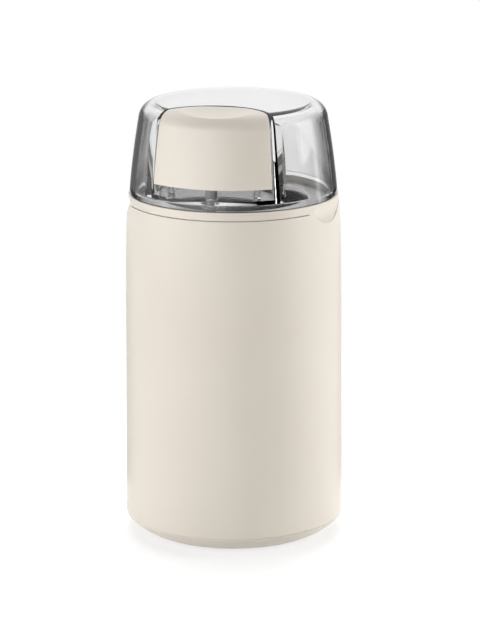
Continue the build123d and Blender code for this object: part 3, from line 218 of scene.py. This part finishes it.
def finishes():
    """One material for each slot of the record."""
    cream = (linear(225, 217, 206), linear(229, 222, 211))
    return {
        "cream_plastic": plastic("cream_satin", *cream, 0.36, ior=1.6),
        "clear_plastic": clear_plastic("clear_lid"),
        "stainless_steel": metal("stainless", grey(174), grey(190), 0.24, None),
        "zinc_steel": metal("zinc", grey(168), grey(186), 0.34, (300.0, 300.0, 300.0)),
        "shaft_steel": metal("ground_steel", grey(172), grey(190), 0.22, (40.0, 40.0, 4000.0)),
        "spring_steel": metal("drawn_wire", grey(140), grey(160), 0.3, (300.0, 300.0, 300.0)),
        "laminated_steel": metal("stacked_sheet", grey(84), grey(120), 0.5, (10.0, 10.0, 2400.0)),
        "copper_wire": metal("enamelled_wire", linear(150, 78, 40), linear(190, 104, 58), 0.36),
        "copper_bars": metal("turned_copper", linear(190, 120, 84), linear(214, 146, 108), 0.3),
        "brass_sheet": metal("brass_sheet", linear(190, 156, 84), linear(206, 174, 104), 0.32),
        "bronze": metal("sintered_bronze", linear(142, 108, 60), linear(166, 130, 78), 0.45),
        "carbon": plastic("carbon", grey(22), grey(34), 0.6, 1800.0),
        "cast_aluminium": metal("cast_aluminium", grey(168), grey(186), 0.42, (260.0, 260.0, 260.0)),
        "black_plastic": plastic("black_plastic", grey(20), grey(27), 0.45),
        "grey_plastic": plastic("grey_plastic", grey(132), grey(140), 0.4),
        "yellow_plastic": plastic("yellow_plastic", linear(208, 164, 42), linear(220, 178, 56), 0.3),
        "grey_rubber": plastic("grey_rubber", linear(150, 147, 141), linear(160, 157, 151), 0.7),
        "black_rubber": plastic("black_rubber", grey(24), grey(31), 0.75),
        "silicone": plastic("silicone", grey(190), grey(198), 0.6),
    }


def dress(materials):
    """Gives each CAD node the finish of its slot."""
    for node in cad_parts.values():
        for place in node.material_slots:
            place.material = materials[place.material.name.split(".")[0]]


def shortening_spring(piece_name, node_name, body):
    """A copy of an upright CAD spring, attached to its body in place of the CAD one, which is hidden."""
    piece = bpy.data.objects.new(piece_name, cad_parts[node_name].data.copy())
    bpy.context.scene.collection.objects.link(piece)
    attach(piece, body)
    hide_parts(node_name)
    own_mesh(piece)


def shown_white(tree):
    """A factor that is 1 for what the camera, a reflection or a clear piece sees, and 0 for light."""
    path = tree.nodes.new("ShaderNodeLightPath")
    total = path.outputs["Is Camera Ray"]
    for ray in ("Is Glossy Ray", "Is Transmission Ray"):
        node = tree.nodes.new("ShaderNodeMath")
        node.operation = "MAXIMUM"
        tree.links.new(total, node.inputs[0])
        tree.links.new(path.outputs[ray], node.inputs[1])
        total = node.outputs[0]
    return total


def studio_world(fill):
    """A white surround that gives only a little light."""
    world = bpy.data.worlds.new("studio")
    world.use_nodes = True
    bpy.context.scene.world = world
    tree = world.node_tree
    soft = tree.nodes["Background"]
    soft.inputs["Color"].default_value = WHITE
    soft.inputs["Strength"].default_value = fill
    white = tree.nodes.new("ShaderNodeBackground")
    white.inputs["Color"].default_value = WHITE
    white.inputs["Strength"].default_value = 1.0
    mix = tree.nodes.new("ShaderNodeMixShader")
    tree.links.new(shown_white(tree), mix.inputs["Fac"])
    tree.links.new(soft.outputs[0], mix.inputs[1])
    tree.links.new(white.outputs[0], mix.inputs[2])
    tree.links.new(mix.outputs[0], tree.nodes["World Output"].inputs["Surface"])


def floor_material(glow, shade, near, far, painted_shadow_depth, painted_shadow_reach):
    """White that holds the object's shadow up to near, and fades to plain white at far.

    glow is the floor's own white, less a painted contact shadow, up to a given depth within a given reach
    of the object.
    shade is the grey that shows the lamps' light and shadow on top of it.
    Light that falls on the object from the floor comes off a warm white instead.
    """
    material = bpy.data.materials.new("floor_white")
    material.use_nodes = True
    tree = material.node_tree
    tree.nodes.remove(tree.nodes["Principled BSDF"])
    bounce = tree.nodes.new("ShaderNodeBsdfDiffuse")
    bounce.inputs["Color"].default_value = WARM_WHITE
    seen = tree.nodes.new("ShaderNodeBsdfDiffuse")
    seen.inputs["Color"].default_value = (shade, shade, shade, 1.0)
    light = tree.nodes.new("ShaderNodeEmission")
    # Painted contact shadow: ambient occlusion dims the floor's own glow close to the object
    painted_shadow_ao = tree.nodes.new("ShaderNodeAmbientOcclusion")
    painted_shadow_ao.inputs["Distance"].default_value = painted_shadow_reach
    glow_with_painted_shadow = tree.nodes.new("ShaderNodeMapRange")
    glow_with_painted_shadow.inputs["From Min"].default_value = OPEN_BESIDE_WALL
    glow_with_painted_shadow.inputs["To Min"].default_value = glow - painted_shadow_depth
    glow_with_painted_shadow.inputs["To Max"].default_value = glow
    white = tree.nodes.new("ShaderNodeEmission")
    white.inputs["Strength"].default_value = 1.0
    place = tree.nodes.new("ShaderNodeTexCoord")
    away = tree.nodes.new("ShaderNodeVectorMath")
    away.operation = "LENGTH"
    fade = tree.nodes.new("ShaderNodeMapRange")
    fade.interpolation_type = "SMOOTHSTEP"
    fade.inputs["From Min"].default_value = near
    fade.inputs["From Max"].default_value = far
    add = tree.nodes.new("ShaderNodeAddShader")
    ground = tree.nodes.new("ShaderNodeMixShader")
    mix = tree.nodes.new("ShaderNodeMixShader")
    tree.links.new(painted_shadow_ao.outputs["AO"], glow_with_painted_shadow.inputs["Value"])
    tree.links.new(glow_with_painted_shadow.outputs["Result"], light.inputs["Strength"])
    tree.links.new(place.outputs["Object"], away.inputs[0])
    tree.links.new(away.outputs["Value"], fade.inputs["Value"])
    tree.links.new(seen.outputs[0], add.inputs[0])
    tree.links.new(light.outputs[0], add.inputs[1])
    tree.links.new(fade.outputs["Result"], ground.inputs["Fac"])
    tree.links.new(add.outputs[0], ground.inputs[1])
    tree.links.new(white.outputs[0], ground.inputs[2])
    tree.links.new(shown_white(tree), mix.inputs["Fac"])
    tree.links.new(bounce.outputs[0], mix.inputs[1])
    tree.links.new(ground.outputs[0], mix.inputs[2])
    tree.links.new(mix.outputs[0], tree.nodes["Material Output"].inputs["Surface"])
    return material


def floor(reach, material):
    """A square at the table's level that reaches so far to each side."""
    mesh = bpy.data.meshes.new("floor")
    corners = [(-reach, -reach, 0), (reach, -reach, 0), (reach, reach, 0), (-reach, reach, 0)]
    mesh.from_pydata(corners, [], [(0, 1, 2, 3)])
    mesh.materials.append(material)
    obj = bpy.data.objects.new("floor", mesh)
    bpy.context.scene.collection.objects.link(obj)


def heading(degrees):
    """A level direction from the object, counted to the right from the camera."""
    angle = CAMERA_AZIMUTH + math.radians(degrees)
    return Vector((math.sin(angle), -math.cos(angle), 0.0))


def softbox(name, bearing, distance, height, wide, high, power, mirrored=True):
    """An area lamp that faces the middle of the object, seen in reflections or not."""
    lamp = bpy.data.lights.new(name, "AREA")
    lamp.shape = "RECTANGLE"
    lamp.size = wide
    lamp.size_y = high
    lamp.energy = power
    obj = bpy.data.objects.new(name, lamp)
    obj.location = heading(bearing) * distance + Vector((0, 0, height))
    aim = Vector((0, 0, (cad_box[0].z + cad_box[1].z) / 2)) - obj.location
    obj.rotation_euler = aim.to_track_quat("-Z", "Y").to_euler()
    obj.visible_camera = False
    obj.visible_glossy = mirrored
    obj.visible_transmission = mirrored
    bpy.context.scene.collection.objects.link(obj)


def card_mesh(name, bearing, distance, wide, high, level, fade):
    """An upright grid on the floor, of a grey level that fades to white at its sides and top."""
    middle = heading(bearing) * distance
    across = heading(bearing + 90) * wide
    points = []
    levels = []
    for row in range(CARD_ROWS + 1):
        for column in range(CARD_COLUMNS + 1):
            share = column / CARD_COLUMNS
            rise = row / CARD_ROWS
            place = middle + across * (share - 0.5)
            points.append((place.x, place.y, high * rise))
            inside = min(1.0, share / fade, (1.0 - share) / fade) * min(1.0, (1.0 - rise) / fade)
            levels.append(1.0 - (1.0 - level) * inside * inside * (3.0 - 2.0 * inside))
    step = CARD_COLUMNS + 1
    faces = []
    for row in range(CARD_ROWS):
        for column in range(CARD_COLUMNS):
            corner = row * step + column
            faces.append((corner, corner + 1, corner + step + 1, corner + step))
    mesh = bpy.data.meshes.new(name)
    mesh.from_pydata(points, [], faces)
    shade = mesh.color_attributes.new("shade", "FLOAT_COLOR", "POINT")
    for point, value in zip(shade.data, levels):
        point.color = (value, value, value, 1.0)
    return mesh


def card(name, bearing, distance, wide, high, level, fade, through=True):
    """A soft-edged grey card that only reflections see, and clear pieces too where through is true."""
    mesh = card_mesh(name, bearing, distance, wide, high, level, fade)
    obj = bpy.data.objects.new(name, mesh)
    bpy.context.scene.collection.objects.link(obj)
    material = bpy.data.materials.new(name)
    material.use_nodes = True
    tree = material.node_tree
    shader = tree.nodes["Principled BSDF"]
    shader.inputs["Base Color"].default_value = BLACK
    shader.inputs["Specular IOR Level"].default_value = 0.0
    shader.inputs["Emission Strength"].default_value = 1.0
    grade = tree.nodes.new("ShaderNodeVertexColor")
    grade.layer_name = "shade"
    tree.links.new(grade.outputs["Color"], shader.inputs["Emission Color"])
    mesh.materials.append(material)
    obj.visible_camera = False
    obj.visible_diffuse = False
    obj.visible_shadow = False
    obj.visible_transmission = through


def camera():
    """The photograph's camera, moved aside so that the object's axis lies off the middle."""
    data = bpy.data.cameras.new("camera")
    data.sensor_width = SENSOR
    data.lens = FOCAL_PIXELS / IMAGE_HIGH * SENSOR
    data.clip_start = 0.05
    data.clip_end = 50.0
    obj = bpy.data.objects.new("camera", data)
    bpy.context.scene.collection.objects.link(obj)
    right = heading(90)
    drop = CAMERA_HEIGHT - AIM_HEIGHT
    slant = math.hypot(CAMERA_DISTANCE, drop)
    aside = right * (AXIS_OFF_CENTRE / FOCAL_PIXELS * slant)
    obj.location = heading(0) * CAMERA_DISTANCE + Vector((0, 0, CAMERA_HEIGHT)) + aside
    look = Vector((0, 0, AIM_HEIGHT)) + aside - obj.location
    turn = look.to_track_quat("-Z", "Y") @ Quaternion((0, 0, 1), CAMERA_ROLL)
    obj.rotation_euler = turn.to_euler()
    bpy.context.scene.camera = obj


dress(finishes())
shortening_spring(
    piece_name="plunger_spring_coil",
    node_name="plunger_spring",
    body="grinder_body",
)

# Surround: distances and sizes in metres, bearings in degrees, power in watts
studio_world(fill=0.03)
# The last two values set the floor's painted contact shadow round the base: its depth and its reach
floor_white = floor_material(glow=0.79, shade=0.46, near=0.12, far=0.4, painted_shadow_depth=0.13, painted_shadow_reach=0.032)
floor(reach=8.0, material=floor_white)

# Lamps: a large key and a low fill on each side, and one over the back for the tops
softbox("key_left", bearing=-48, distance=1.1, height=0.33, wide=2.4, high=0.62, power=6.0)
softbox("fill_left", bearing=-54, distance=1.1, height=0.17, wide=1.2, high=0.34, power=5.3, mirrored=False)
softbox("key_right", bearing=97, distance=1.0, height=0.32, wide=0.53, high=0.64, power=1.75)
softbox("fill_right", bearing=80, distance=0.98, height=0.2, wide=0.7, high=0.4, power=5.6, mirrored=False)
softbox("top_back", bearing=180, distance=0.7, height=1.1, wide=1.1, high=1.1, power=15, mirrored=False)

# Cards: they darken the clear lid's edges, the body's edges and the band down its front
card("flag_left", bearing=-141, distance=0.6, wide=0.9, high=0.33, level=0.13, fade=0.26)
card("flag_right", bearing=144, distance=0.6, wide=0.8, high=0.33, level=0.08, fade=0.28)
card("flag_front", bearing=33, distance=0.095, wide=0.16, high=0.3, level=0.02, fade=0.4, through=False)
card("side_left", bearing=-142, distance=0.09, wide=0.15, high=0.13, level=0.45, fade=0.3, through=False)
card("side_right", bearing=148, distance=0.09, wide=0.15, high=0.13, level=0.4, fade=0.3, through=False)
card("skirt_right", bearing=75, distance=0.85, wide=1.0, high=0.15, level=0.05, fade=0.4)

camera()
bpy.context.scene.view_settings.view_transform = "Standard"
